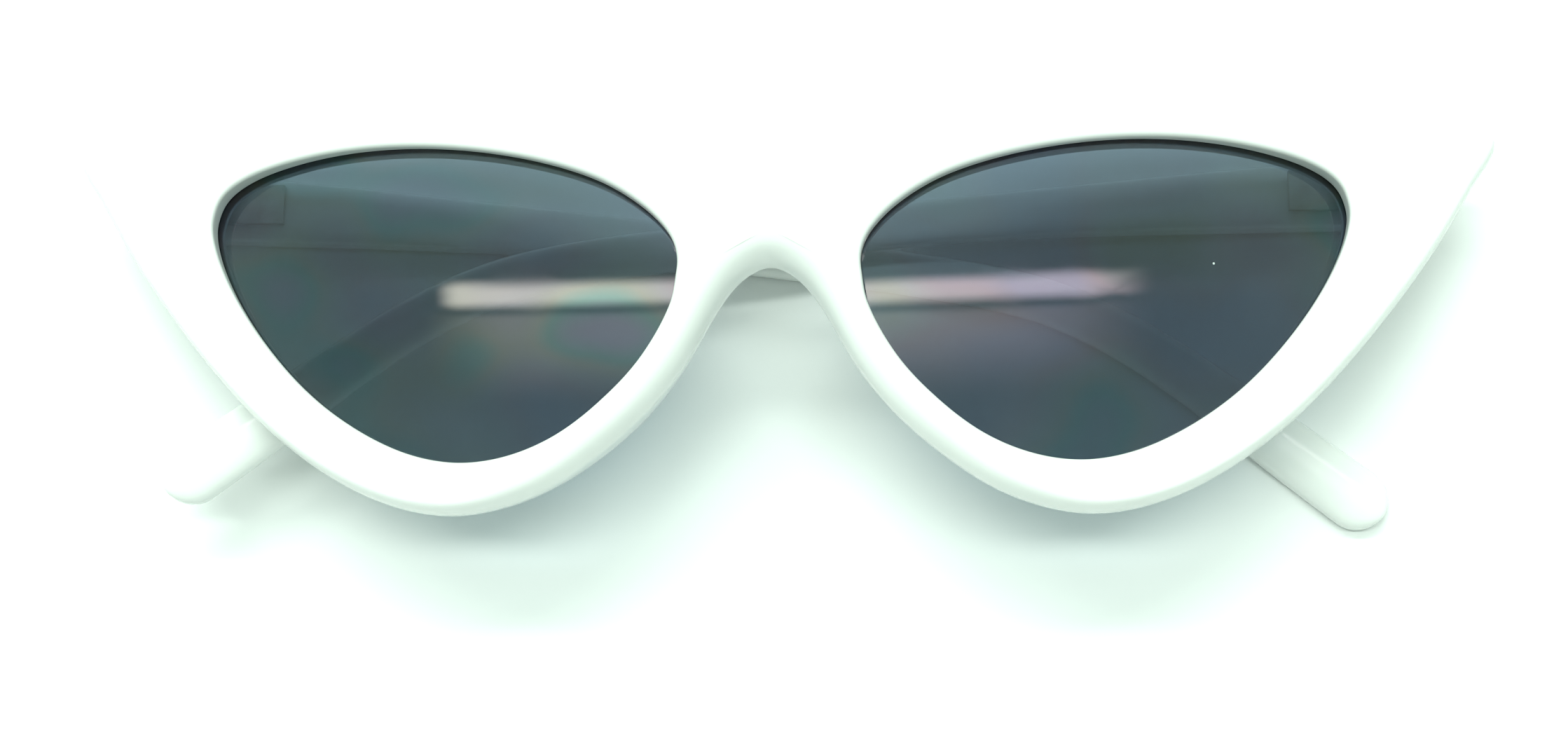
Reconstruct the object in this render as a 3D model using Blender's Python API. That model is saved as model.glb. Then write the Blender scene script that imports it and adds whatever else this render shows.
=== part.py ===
"""Cat eye sunglasses, folded shut and lying on their temples with the lenses facing up.

+X runs along the front towards the wearer's left wing, +Y towards the brow and +Z up, the way
the lenses face. The front is drawn in its own frame, whose origin is the middle of the bridge's
face; an empty places that frame over the table, so that the folded temples rest on z = 0.
Each temple is drawn open, behind the front, and an empty on its hinge axis folds it.
"""

import math

import bmesh
import bpy
from mathutils import Matrix, Vector

MM = 0.001
GAP = 0.3 * MM

# Front: the face is a shallow cylinder about an upright axis, and each lens is part of a sphere.
FACE_RADIUS = 270 * MM
RIM_DEPTH = 5.0 * MM
WING_DEPTH = 3.8 * MM
WING_START, WING_END = 60 * MM, 77 * MM
LIP_RADIUS = 0.35 * MM
GROOVE_DEPTH = 1.0 * MM
BACK_ROLL = 0.9 * MM
LENS_RADIUS = 120 * MM
LENS_THICKNESS = 1.6 * MM
LENS_IN_GROOVE = 0.7 * MM
LENS_CENTRE = (35 * MM, 3.5 * MM)
LENS_SUNK = 0.2 * MM

# Hinges: three barrels on an axis along Y, the middle one on the temple.
HINGE_X, HINGE_Y, HINGE_Z = 66.4 * MM, 18.3 * MM, -17.1 * MM
BARREL_RADIUS = 1.5 * MM
BORE_RADIUS = 0.9 * MM
BARREL_HEIGHT = 2.3 * MM
LEAF_THICKNESS = 1.0 * MM
LEAF_RISE = 1.2 * MM
FRONT_LEAF = (-4.1 * MM, 0.6 * MM)
TEMPLE_LEAF = (-10.5 * MM, -1.9 * MM)
TEMPLE_LEAF_HALF = 2.2 * MM
LEAF_SUNK = 0.3 * MM
NECK = (-2.3 * MM, -0.2 * MM)
SCREW_RADIUS = 0.6 * MM
SCREW_HEAD_RADIUS = 1.25 * MM
SCREW_HEAD_HEIGHT = 0.7 * MM
SEAT_OFFSET = BARREL_RADIUS + GAP
BOSS_SIZE = (10.5 * MM, 9.2 * MM)
BOSS_CENTRE_X = 66.75 * MM

# Temples: the outer face is flat, and the first temple to fold lies above the second.
TEMPLE_THICKNESS = 3.4 * MM
TEMPLE_MIDDLE_THICKNESS = 2.6 * MM
TEMPLE_INNER = BARREL_RADIUS + GAP
TEMPLE_OUTER = TEMPLE_INNER + TEMPLE_THICKNESS
TEMPLE_BUTT = 1.5 * MM
FOLD_LEFT = math.radians(93.5)
FOLD_RIGHT = math.radians(90.0)
TILT_LEFT = math.radians(0.5)
TILT_RIGHT = math.radians(-0.5)

# Where the bridge's face stands over the table, with the whole part centred on the origin.
BRIDGE_HEIGHT = TEMPLE_OUTER - HINGE_Z + 0.02 * MM
BRIDGE_OFFSET = -2.9 * MM

# One half of the front, in mm, from the top of the nose arch round under the lens to the wing
# and back along the brow: lens opening x y, outer edge x y, width of the rolled outer edge,
# depth at which the outer edge is widest, and reach of the nose pad behind the rim.
RIM = [
    (9.8, 5.3, 0.0, 6.9, 2.9, 4.4, 0.0),
    (10.2, 2.4, 4.0, 4.3, 2.7, 4.2, 0.0),
    (13.0, -3.1, 8.2, -3.0, 2.3, 3.6, 2.6),
    (16.7, -7.2, 12.3, -8.3, 2.1, 3.2, 4.6),
    (21.4, -10.9, 17.6, -13.0, 2.0, 3.0, 4.4),
    (26.6, -13.1, 24.0, -17.0, 1.6, 2.8, 1.6),
    (32.2, -13.7, 32.6, -19.0, 1.1, 2.6, 0.0),
    (38.4, -12.2, 41.6, -16.9, 0.9, 2.6, 0.0),
    (45.4, -8.2, 50.4, -11.6, 0.8, 2.6, 0.0),
    (50.8, -3.4, 57.4, -5.3, 0.8, 2.6, 0.0),
    (55.9, 3.0, 64.3, 2.6, 0.8, 2.4, 0.0),
    (59.0, 8.6, 70.0, 10.2, 0.8, 2.2, 0.0),
    (60.1, 12.4, 74.4, 17.2, 0.8, 2.0, 0.0),
    (59.9, 14.2, 76.6, 20.5, 0.8, 1.9, 0.0),
    (59.2, 15.8, 76.7, 22.0, 0.8, 1.9, 0.0),
    (57.4, 17.3, 74.6, 22.9, 0.8, 2.0, 0.0),
    (53.4, 18.8, 64.6, 24.1, 0.8, 2.4, 0.0),
    (45.6, 20.05, 50.0, 24.9, 0.8, 2.6, 0.0),
    (36.4, 20.05, 37.6, 24.5, 0.8, 2.6, 0.0),
    (26.6, 18.6, 26.0, 22.8, 0.8, 2.6, 0.0),
    (18.0, 15.9, 15.8, 19.4, 0.9, 2.6, 0.0),
    (13.2, 12.9, 7.6, 16.1, 1.0, 2.6, 0.0),
    (10.9, 10.6, 0.0, 15.0, 1.0, 2.6, 0.0),
]
BRIDGE_STEPS = [(9.8, 8.8), (9.4, 7.0)]
STEPS_PER_STATION = 3

# One temple seen from its side, in mm from the hinge axis: distance back, height, face height.
TEMPLE = [
    (0.0, 0.1, 7.6),
    (12.0, -0.6, 7.0),
    (29.0, -1.8, 5.8),
    (47.0, -3.3, 4.9),
    (68.0, -5.7, 4.7),
    (84.0, -7.9, 4.8),
    (96.0, -10.6, 5.0),
    (105.0, -14.9, 5.3),
    (113.0, -20.3, 5.6),
    (121.8, -27.0, 6.5),
    (128.9, -32.4, 6.8),
]
TIP_ANGLES = (20, 38, 54, 68, 80)
TEMPLE_CORNER = 0.9 * MM


def clear_scene():
    for thing in list(bpy.data.objects):
        bpy.data.objects.remove(thing, do_unlink=True)


def material(name, colour, roughness, metallic=0.0, alpha=1.0):
    made = bpy.data.materials.new(name)
    made.use_nodes = True
    shader = made.node_tree.nodes["Principled BSDF"]
    shader.inputs["Base Color"].default_value = (*colour, 1.0)
    shader.inputs["Roughness"].default_value = roughness
    shader.inputs["Metallic"].default_value = metallic
    shader.inputs["Alpha"].default_value = alpha
    made.diffuse_color = (*colour, alpha)
    return made


def new_object(name, mesh, parent=None, coat=None):
    """An object of this mesh, smooth where it is round, in the scene under its parent."""
    made = bpy.data.objects.new(name, mesh)
    bpy.context.collection.objects.link(made)
    made.parent = parent
    if coat:
        mesh.materials.append(coat)
    mesh.shade_smooth()
    mesh.set_sharp_from_angle(angle=math.radians(35))
    return made


def new_empty(name, location, parent=None, turn=0.0):
    made = bpy.data.objects.new(name, None)
    bpy.context.collection.objects.link(made)
    made.parent = parent
    made.location = location
    made.rotation_euler = (0, turn, 0)
    made.empty_display_size = 5 * MM
    return made


def mesh_from(name, build):
    """A mesh filled by a function that takes a bmesh, with its normals facing out."""
    work = bmesh.new()
    build(work)
    bmesh.ops.recalc_face_normals(work, faces=work.faces)
    mesh = bpy.data.meshes.new(name)
    work.to_mesh(mesh)
    work.free()
    return mesh


def cut(target, tool, operation="DIFFERENCE"):
    """Adds a Boolean of one object with another, and hides the tool."""
    tool.hide_render = True
    tool.display_type = "WIRE"
    change = target.modifiers.new(tool.name, "BOOLEAN")
    change.operation = operation
    change.solver = "EXACT"
    change.object = tool


def curve_point(before, start, end, after, u):
    """A point at u from start to end on the centripetal Catmull-Rom curve of four points."""
    points = [Vector(p) for p in (before, start, end, after)]
    knots = [0.0]
    for one, two in zip(points, points[1:]):
        knots.append(knots[-1] + max((two - one).length, 1e-9) ** 0.5)
    t = knots[1] + u * (knots[2] - knots[1])
    while len(points) > 1:
        order = 5 - len(points)
        points = [
            one.lerp(two, (t - knots[i]) / (knots[i + order] - knots[i]))
            for i, (one, two) in enumerate(zip(points, points[1:]))
        ]
    return points[0]


def smooth_curve(points, steps):
    """Points along an open curve: its first and last points only steer the ends."""
    found = []
    for around in zip(points, points[1:], points[2:], points[3:]):
        found += [curve_point(*around, step / steps) for step in range(steps)]
    return found + [Vector(points[-2])]


def blend_values(values, steps):
    """Numbers eased from each station to the next, with the last station at the end."""
    found = []
    for one, two in zip(values, values[1:]):
        for step in range(steps):
            u = step / steps
            found.append(one + (two - one) * u * u * (3 - 2 * u))
    return found + [values[-1]]


def mirrored(point):
    return (-point[0], point[1])


def inward_normals(points):
    """Unit normals to the left of a closed line of points."""
    normals = []
    for i, point in enumerate(points):
        along = points[(i + 1) % len(points)] - points[i - 1]
        normals.append(Vector((-along.y, along.x)).normalized())
    return normals


def lens_opening():
    """The lens opening's closed outline, matched point for point with the outer edge."""
    stations = [Vector(row[0:2]) * MM for row in RIM]
    stations += [Vector(point) * MM for point in BRIDGE_STEPS]
    closed = [stations[-1], *stations, stations[0], stations[1]]
    return smooth_curve(closed, STEPS_PER_STATION)[:-1]


def outer_edge():
    """The outer edge from the nose arch to the middle of the brow, without the bridge's cut."""
    stations = [Vector(row[2:4]) * MM for row in RIM]
    ends = Vector(mirrored(stations[1])), Vector(mirrored(stations[-2]))
    return smooth_curve([ends[0], *stations, ends[1]], STEPS_PER_STATION)


def face_height(x):
    return -x * x / (2 * FACE_RADIUS)


def rim_depth(x):
    along = min(max((x - WING_START) / (WING_END - WING_START), 0.0), 1.0)
    return RIM_DEPTH + (WING_DEPTH - RIM_DEPTH) * along


def lens_height(point, radius):
    """Height of the lens sphere of a radius over a point; the lens faces square to the face."""
    lean = LENS_CENTRE[0] / FACE_RADIUS
    top = Vector((*LENS_CENTRE, face_height(LENS_CENTRE[0]) - LENS_SUNK))
    centre = top - LENS_RADIUS * Vector((math.sin(lean), 0, math.cos(lean)))
    flat = (point - centre.xy).length_squared
    return centre.z + math.sqrt(radius * radius - flat)


def lens_front(point):
    return lens_height(point, LENS_RADIUS)


def lens_back(point):
    return lens_height(point, LENS_RADIUS - LENS_THICKNESS)


def front_loops():
    """Closed loops of points round one half of the front, in order round the rim's section."""
    opening, edge = lens_opening(), outer_edge()
    roll, widest, pad = (
        blend_values([row[k] * MM for row in RIM], STEPS_PER_STATION) for k in (4, 5, 6)
    )
    count = len(opening)
    cut_steps = count - len(edge) + 1
    into_rim = [-normal for normal in inward_normals(opening)]
    into_edge = inward_normals([edge[-1] + Vector((-1 * MM, 0)), *edge])[1:]
    into_edge[0], into_edge[-1] = Vector((0, 1)), Vector((0, -1))

    def outer(inset, depth):
        """A loop set in from the outer edge; across the bridge it runs straight down x = 0."""
        line = [p + n * inset(i) for i, (p, n) in enumerate(zip(edge, into_edge))]
        deep = [depth(i) for i in range(len(edge))]
        for step in range(1, cut_steps):
            u = step / cut_steps
            line.append(line[len(edge) - 1].lerp(line[0], u))
            deep.append(deep[len(edge) - 1] * (1 - u) + deep[0] * u)
        return [Vector((*p, face_height(p.x) - d)) for p, d in zip(line, deep)]

    def inner(outset, height):
        line = [p + n * outset for p, n in zip(opening, into_rim)]
        return [Vector((*p, height(p))) for p in line]

    def between(one, two, share):
        return [a.lerp(b, share) for a, b in zip(one, two)]

    def back(i):
        return rim_depth(edge[i].x)

    loops = [outer(lambda i: roll[i], lambda i: 0.0)]
    for angle in (30, 60, 90):
        turn = math.radians(angle)
        loops.append(
            outer(
                lambda i: roll[i] * (1 - math.sin(turn)),
                lambda i: widest[i] * (1 - math.cos(turn)),
            )
        )
    loops.append(outer(lambda i: 0.15 * MM + 0.12 * pad[i], lambda i: back(i) + pad[i] - BACK_ROLL))
    loops.append(outer(lambda i: BACK_ROLL + 0.2 * pad[i], lambda i: back(i) + pad[i]))
    loops.append(outer(lambda i: 1.8 * MM + 0.3 * pad[i], lambda i: back(i) + 0.4 * pad[i]))
    back_lip = inner(LIP_RADIUS, lambda p: face_height(p.x) - rim_depth(p.x))
    back_middle = between(loops[-1], back_lip, 0.5)
    loops.append(back_middle)
    loops.append(back_lip)
    loops.append(inner(0, lambda p: face_height(p.x) - rim_depth(p.x) + LIP_RADIUS))
    loops.append(inner(0, lambda p: lens_back(p) - GAP))
    loops.append(inner(GROOVE_DEPTH, lambda p: lens_back(p) - GAP))
    loops.append(inner(GROOVE_DEPTH, lambda p: lens_front(p) + GAP))
    loops.append(inner(0, lambda p: lens_front(p) + GAP))
    loops.append(inner(0, lambda p: face_height(p.x) - LIP_RADIUS))
    front_lip = inner(LIP_RADIUS, lambda p: face_height(p.x))
    loops.append(front_lip)
    face_middle = between(front_lip, loops[0], 0.5)
    loops.append([Vector((*p.xy, face_height(p.x))) for p in face_middle])
    return loops


def skin_loops(work, loops, wrap=True):
    """Joins closed loops of equal length with quads, and the last to the first if they wrap."""
    rings = [[work.verts.new(point) for point in loop] for loop in loops]
    pairs = zip(rings, rings[1:] + rings[:1]) if wrap else zip(rings, rings[1:])
    for one, two in pairs:
        for i in range(len(one)):
            work.faces.new((one[i - 1], one[i], two[i], two[i - 1]))
    return rings


def build_half_front(work):
    skin_loops(work, front_loops())
    inside = [f for f in work.faces if all(abs(v.co.x) < 0.001 * MM for v in f.verts)]
    bmesh.ops.delete(work, geom=inside, context="FACES")


def box_mesh(name, low, high, bevel=0.0, segments=2, along=None):
    """A box between two corners, with its edges along one axis rounded, or all of them."""

    def build(work):
        bmesh.ops.create_cube(work, size=1.0)
        size = Vector(high) - Vector(low)
        centre = (Vector(high) + Vector(low)) / 2
        bmesh.ops.scale(work, vec=size, verts=work.verts)
        bmesh.ops.translate(work, vec=centre, verts=work.verts)
        edges = list(work.edges)
        if along is not None:
            edges = [
                e
                for e in edges
                if abs((e.verts[0].co - e.verts[1].co)[along]) > 0.5 * size[along]
            ]
        if bevel:
            bmesh.ops.bevel(
                work,
                geom=edges,
                offset=bevel,
                segments=segments,
                profile=0.5,
                affect="EDGES",
            )

    return mesh_from(name, build)


def tube(work, outer, low, high, inner=0.0, sides=24):
    """A round bar along Y between two heights, or a tube where it has an inner radius."""

    def ring(radius, y):
        return [
            work.verts.new((radius * math.cos(a), y, radius * math.sin(a)))
            for a in (2 * math.pi * i / sides for i in range(sides))
        ]

    rings = [ring(outer, low), ring(outer, high)]
    if inner:
        rings += [ring(inner, high), ring(inner, low)]
        rings.append(rings[0])
    for one, two in zip(rings, rings[1:]):
        for i in range(sides):
            work.faces.new((one[i - 1], one[i], two[i], two[i - 1]))
    if not inner:
        work.faces.new(rings[0])
        work.faces.new(rings[1])


def barrel_spans():
    """The bottom, middle and top barrels as low and high Y, about the hinge's middle."""
    step = BARREL_HEIGHT + GAP
    return [(k * step - BARREL_HEIGHT / 2, k * step + BARREL_HEIGHT / 2) for k in (-1, 0, 1)]


def make_front(parent, coat):
    front = new_object("front_frame", mesh_from("front_frame", build_half_front), parent, coat)
    mirror = front.modifiers.new("other_half", "MIRROR")
    mirror.use_clip = True
    mirror.merge_threshold = 0.00005
    seat = HINGE_Z + SEAT_OFFSET
    reach = barrel_spans()[2][1]
    for side, sign in (("left", 1), ("right", -1)):
        half_x, half_y = BOSS_SIZE[0] / 2, BOSS_SIZE[1] / 2
        middle = Vector((sign * BOSS_CENTRE_X, HINGE_Y, 0))
        boss = box_mesh(
            f"hinge_boss_{side}",
            middle + Vector((-half_x, -half_y, seat)),
            middle + Vector((half_x, half_y, face_height(BOSS_CENTRE_X) - 1.5 * MM)),
            bevel=1.2 * MM,
            segments=3,
            along=2,
        )
        cut(front, new_object(f"hinge_boss_{side}", boss, parent), "UNION")
        inner, outer = HINGE_X + FRONT_LEAF[0] - GAP, HINGE_X + FRONT_LEAF[1] + GAP
        low_x, high_x = sorted((sign * inner, sign * outer))
        pocket = box_mesh(
            f"leaf_pocket_{side}",
            (low_x, HINGE_Y - reach - GAP, seat - 1 * MM),
            (high_x, HINGE_Y + reach + GAP, HINGE_Z + LEAF_RISE + LEAF_THICKNESS + GAP),
        )
        cut(front, new_object(f"leaf_pocket_{side}", pocket, parent))
    return front


def lens_rings(surface, shares):
    """Rings of the lens outline shrunk about the lens centre, on one of its two surfaces."""
    opening = lens_opening()
    normals = inward_normals(opening)
    centre = Vector(LENS_CENTRE)
    edge = [p - n * LENS_IN_GROOVE for p, n in zip(opening, normals)]
    rings = []
    for share in shares:
        line = [centre.lerp(p, share) for p in edge]
        rings.append([Vector((*p, surface(p))) for p in line])
    return rings


def make_lens(side, sign, parent, coat):
    def build(work):
        centre = Vector(LENS_CENTRE)
        shares = (0.35, 0.7, 1.0)
        loops = lens_rings(lens_front, shares) + lens_rings(lens_back, shares[::-1])
        rings = skin_loops(work, loops, wrap=False)
        for ring, surface in ((rings[0], lens_front), (rings[-1], lens_back)):
            hub = work.verts.new((*centre, surface(centre)))
            for i in range(len(ring)):
                work.faces.new((ring[i - 1], ring[i], hub))
        bmesh.ops.scale(work, vec=(sign, 1, 1), verts=work.verts)

    return new_object(f"lens_{side}", mesh_from(f"lens_{side}", build), parent, coat)


def rounded_section(inner, outer, height, corner):
    """A rounded rectangle across the thickness and height of a temple, about its middle."""
    half = height / 2
    corner = min(corner, 0.45 * (outer - inner), 0.9 * half)
    section = []
    for centre_x, centre_h, start in (
        (outer - corner, half - corner, 0),
        (inner + corner, half - corner, 90),
        (inner + corner, corner - half, 180),
        (outer - corner, corner - half, 270),
    ):
        for angle in (0, 30, 60, 90):
            turn = math.radians(start + angle)
            point = (centre_x + corner * math.cos(turn), centre_h + corner * math.sin(turn))
            section.append(point)
    return section


def temple_thickness(distance):
    """The temple thins from its hinge end to its middle."""
    u = min(max((distance - 14 * MM) / (46 * MM), 0.0), 1.0)
    return TEMPLE_THICKNESS + (TEMPLE_MIDDLE_THICKNESS - TEMPLE_THICKNESS) * u * u * (3 - 2 * u)


def temple_stations(tilt):
    """Places along the temple: point, direction, face height and how far the section shrinks."""
    turn = Matrix.Rotation(tilt, 3, "Z")
    rows = [turn @ Vector(row) * MM for row in TEMPLE]
    ahead = rows[0] * 2 - rows[1]
    beyond = rows[-1] * 2 - rows[-2]
    line = smooth_curve([ahead, *rows, beyond], 2)
    start = rows[0].lerp(rows[1], -TEMPLE_BUTT / rows[1].x)
    line = [start, *line]
    stations = []
    for i, row in enumerate(line):
        along = line[min(i + 1, len(line) - 1)].xy - line[max(i - 1, 0)].xy
        direction = Vector((1, 0)) if i < 2 else along.normalized()
        stations.append((row.xy, direction, row.z, 1.0))
    end, direction, height, _ = stations[-1]
    for angle in map(math.radians, TIP_ANGLES):
        ahead = height / 2 * math.sin(angle)
        stations.append((end + direction * ahead, direction, height, math.cos(angle)))
    return stations


def make_temple(side, sign, tilt, pivot, coat):
    """A temple as it stands open: it runs back along -Z from the hinge axis."""

    def build(work):
        loops = []
        for point, direction, height, share in temple_stations(tilt):
            thick = temple_thickness(point.x)
            up = Vector((-direction.y, direction.x))
            loop = []
            for x, h in rounded_section(TEMPLE_OUTER - thick, TEMPLE_OUTER, height, TEMPLE_CORNER):
                middle = TEMPLE_OUTER - thick / 2
                place = point + up * h * share
                x = middle + (x - middle) * (0.4 + 0.6 * share)
                loop.append(Vector((sign * x, place.y, -place.x)))
            loops.append(loop)
        rings = skin_loops(work, loops, wrap=False)
        work.faces.new(rings[0])
        work.faces.new(rings[-1])

    temple = new_object(f"temple_{side}", mesh_from(f"temple_{side}", build), pivot, coat)
    floor = TEMPLE_INNER + LEAF_SUNK + GAP
    low_x, high_x = sorted((sign * (TEMPLE_INNER - 1 * MM), sign * floor))
    pocket = box_mesh(
        f"temple_pocket_{side}",
        (low_x, -TEMPLE_LEAF_HALF - GAP, TEMPLE_LEAF[0] - GAP),
        (high_x, TEMPLE_LEAF_HALF + GAP, TEMPLE_LEAF[1] + GAP),
    )
    cut(temple, new_object(f"temple_pocket_{side}", pocket, pivot))
    return temple


def make_front_leaf(side, sign, seat, coat):
    """The metal leaf in the front: a plate in its pocket, with the two outer barrels."""
    spans = barrel_spans()
    reach = spans[2][1]
    low_x, high_x = sorted((sign * FRONT_LEAF[0], sign * FRONT_LEAF[1]))
    plate = box_mesh(
        f"front_hinge_leaf_{side}",
        (low_x, -reach, LEAF_RISE),
        (high_x, reach, LEAF_RISE + LEAF_THICKNESS),
    )
    leaf = new_object(f"front_hinge_leaf_{side}", plate, seat, coat)
    for name, (low, high) in (("bottom", spans[0]), ("top", spans[2])):
        add_barrel(leaf, f"front_barrel_{name}_{side}", low, high, seat)
    cut_bore(leaf, f"front_bore_{side}", reach, seat)
    relief = box_mesh(
        f"middle_barrel_room_{side}",
        (-2 * MM, spans[1][0] - GAP, LEAF_RISE - 1 * MM),
        (2 * MM, spans[1][1] + GAP, BARREL_RADIUS + GAP),
    )
    cut(leaf, new_object(f"middle_barrel_room_{side}", relief, seat))
    return leaf


def make_temple_leaf(side, sign, pivot, coat):
    """The metal leaf in the temple: a plate in its pocket, a neck and the middle barrel."""
    low, high = barrel_spans()[1]
    far = TEMPLE_INNER + LEAF_SUNK
    low_x, high_x = sorted((sign * (far - LEAF_THICKNESS), sign * far))
    plate = box_mesh(
        f"temple_hinge_leaf_{side}",
        (low_x, -TEMPLE_LEAF_HALF, TEMPLE_LEAF[0]),
        (high_x, TEMPLE_LEAF_HALF, TEMPLE_LEAF[1]),
    )
    leaf = new_object(f"temple_hinge_leaf_{side}", plate, pivot, coat)
    neck_x = sorted((sign * 0.6 * MM, sign * (TEMPLE_INNER - GAP)))
    neck = box_mesh(
        f"leaf_neck_{side}",
        (neck_x[0], low, NECK[0]),
        (neck_x[1], high, NECK[1]),
    )
    cut(leaf, new_object(f"leaf_neck_{side}", neck, pivot), "UNION")
    add_barrel(leaf, f"middle_barrel_{side}", low, high, pivot)
    cut_bore(leaf, f"middle_bore_{side}", high, pivot)
    return leaf


def add_barrel(leaf, name, low, high, parent):
    barrel = mesh_from(name, lambda work: tube(work, BARREL_RADIUS, low, high))
    cut(leaf, new_object(name, barrel, parent), "UNION")


def cut_bore(leaf, name, reach, parent):
    bore = mesh_from(name, lambda work: tube(work, BORE_RADIUS, -2 * reach, 2 * reach))
    cut(leaf, new_object(name, bore, parent))


def make_screw(side, seat, coat):
    """The hinge screw: a plain shank with a slotted head above the top barrel."""
    low, high = barrel_spans()[0][0], barrel_spans()[2][1] + GAP

    def build(work):
        sides = 24
        heights = ((low, SCREW_RADIUS), (high, SCREW_RADIUS))
        heights += ((high, SCREW_HEAD_RADIUS), (high + 0.75 * SCREW_HEAD_HEIGHT, SCREW_HEAD_RADIUS))
        heights += ((high + SCREW_HEAD_HEIGHT, 0.8 * SCREW_HEAD_RADIUS),)
        loops = []
        for y, radius in heights:
            angles = [2 * math.pi * i / sides for i in range(sides)]
            loops.append([Vector((radius * math.cos(a), y, radius * math.sin(a))) for a in angles])
        rings = skin_loops(work, loops, wrap=False)
        work.faces.new(rings[0])
        work.faces.new(rings[-1])

    screw = new_object(f"hinge_screw_{side}", mesh_from(f"hinge_screw_{side}", build), seat, coat)
    top = high + SCREW_HEAD_HEIGHT
    slot = box_mesh(
        f"screw_slot_{side}",
        (-2 * MM, top - 0.35 * MM, -0.18 * MM),
        (2 * MM, top + 0.3 * MM, 0.18 * MM),
    )
    cut(screw, new_object(f"screw_slot_{side}", slot, seat))
    return screw


def main():
    clear_scene()
    white = material("white_plastic", (0.9, 0.9, 0.89), 0.18)
    smoke = material("smoke_lens", (0.12, 0.15, 0.18), 0.04, alpha=0.75)
    steel = material("hinge_steel", (0.62, 0.62, 0.63), 0.3, metallic=1.0)
    datum = new_empty("front_datum", (0, BRIDGE_OFFSET, BRIDGE_HEIGHT))
    make_front(datum, white)
    sides = (("left", 1, FOLD_LEFT, TILT_LEFT), ("right", -1, FOLD_RIGHT, TILT_RIGHT))
    for side, sign, fold, tilt in sides:
        place = (sign * HINGE_X, HINGE_Y, HINGE_Z)
        seat = new_empty(f"hinge_seat_{side}", place, datum)
        pivot = new_empty(f"hinge_pivot_{side}", place, datum, turn=sign * fold)
        make_lens(side, sign, datum, smoke)
        make_temple(side, sign, tilt, pivot, white)
        make_front_leaf(side, sign, seat, steel)
        make_temple_leaf(side, sign, pivot, steel)
        make_screw(side, seat, steel)
    bpy.context.view_layer.update()


main()
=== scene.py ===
"""The looks of the folded cat eye sunglasses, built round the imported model.

The front, the lenses and the temples are smooth meshes of the same size as the CAD nodes that they
replace, and the hinges keep their CAD nodes with small bevels. Sizes are in metres, and in
millimetres in the tables. The front is drawn in its own frame, whose origin is the middle of the
bridge's face, and FRONT_PLACE puts that frame over the table.
"""

import math

import bmesh
import bpy
from mathutils import Matrix, Vector

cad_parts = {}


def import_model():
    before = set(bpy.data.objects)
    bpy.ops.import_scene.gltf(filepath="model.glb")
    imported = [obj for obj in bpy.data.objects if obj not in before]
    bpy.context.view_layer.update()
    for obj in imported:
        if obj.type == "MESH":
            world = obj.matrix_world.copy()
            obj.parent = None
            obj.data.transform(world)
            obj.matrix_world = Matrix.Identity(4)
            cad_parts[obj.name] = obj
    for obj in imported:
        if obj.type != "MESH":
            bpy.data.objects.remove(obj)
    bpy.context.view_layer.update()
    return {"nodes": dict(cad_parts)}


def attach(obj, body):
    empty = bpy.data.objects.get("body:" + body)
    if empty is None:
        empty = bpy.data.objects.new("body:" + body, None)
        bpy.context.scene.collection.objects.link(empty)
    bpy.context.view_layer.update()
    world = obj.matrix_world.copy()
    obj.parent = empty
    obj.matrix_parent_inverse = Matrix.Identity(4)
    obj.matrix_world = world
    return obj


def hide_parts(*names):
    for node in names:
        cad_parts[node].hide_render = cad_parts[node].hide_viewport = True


MM = 0.001

# The room left round the hinges, and how far a cutter reaches past a surface.
GAP = 0.3 * MM
CUT_PAST = 2 * MM

# Edges that meet at more than this angle stay sharp when a mesh is smoothed.
SHARP_ANGLE = math.radians(40)

# The form of the front and the lenses. All but the gap round a lens and the width of the painted
# shade at its edge are sizes of the CAD model.
FACE_RADIUS = 270 * MM
RIM_DEPTH = 5.0 * MM
WING_DEPTH = 3.8 * MM
WING_START, WING_END = 60 * MM, 77 * MM
LIP_RADIUS = 0.35 * MM
FRONT_LIP = 0.6 * MM
GROOVE_DEPTH = 1.0 * MM
BACK_ROLL = 0.9 * MM
LENS_RADIUS = 120 * MM
LENS_THICKNESS = 1.6 * MM
LENS_IN_GROOVE = 0.85 * MM
LENS_CENTRE = (35 * MM, 3.5 * MM)
LENS_SUNK = 0.2 * MM
LENS_GAP = 0.06 * MM
# The width of the painted shade along a lens's edge, which stands for the shadow where the lens
# meets the groove.
LENS_SHADE_WIDTH = 0.12 * MM
GROOVE_SHARES = (0, 0.2, 0.8, 1)
GROOVE_TO_FACE = 0.12 * MM
OUTER_SIDE = 0.15 * MM
BACK_FLAT = 1.8 * MM
BACK_SHARES = (0.5, 0.85)
ROLL_ANGLES = (18, 36, 54, 72, 90)

# The hinges, which the temples and their bosses are set out from.
HINGE_X, HINGE_Y, HINGE_Z = 66.4 * MM, 18.3 * MM, -17.1 * MM
BARREL_RADIUS = 1.5 * MM
BARREL_HEIGHT = 2.3 * MM
LEAF_THICKNESS = 1.0 * MM
LEAF_RISE = 1.2 * MM
FRONT_LEAF = (-4.1 * MM, 0.6 * MM)
TEMPLE_LEAF = (-10.5 * MM, -1.9 * MM)
TEMPLE_LEAF_HALF = 2.2 * MM
LEAF_SUNK = 0.3 * MM
SEAT_OFFSET = BARREL_RADIUS + GAP
BOSS_SIZE = (10.5 * MM, 9.2 * MM)
BOSS_CENTRE_X = 66.75 * MM
BOSS_SUNK = 1.5 * MM
BOSS_BEVEL = 1.1 * MM
HINGE_BEVEL = 0.08 * MM
HINGE_BEVEL_ANGLE = math.radians(50)

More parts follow.
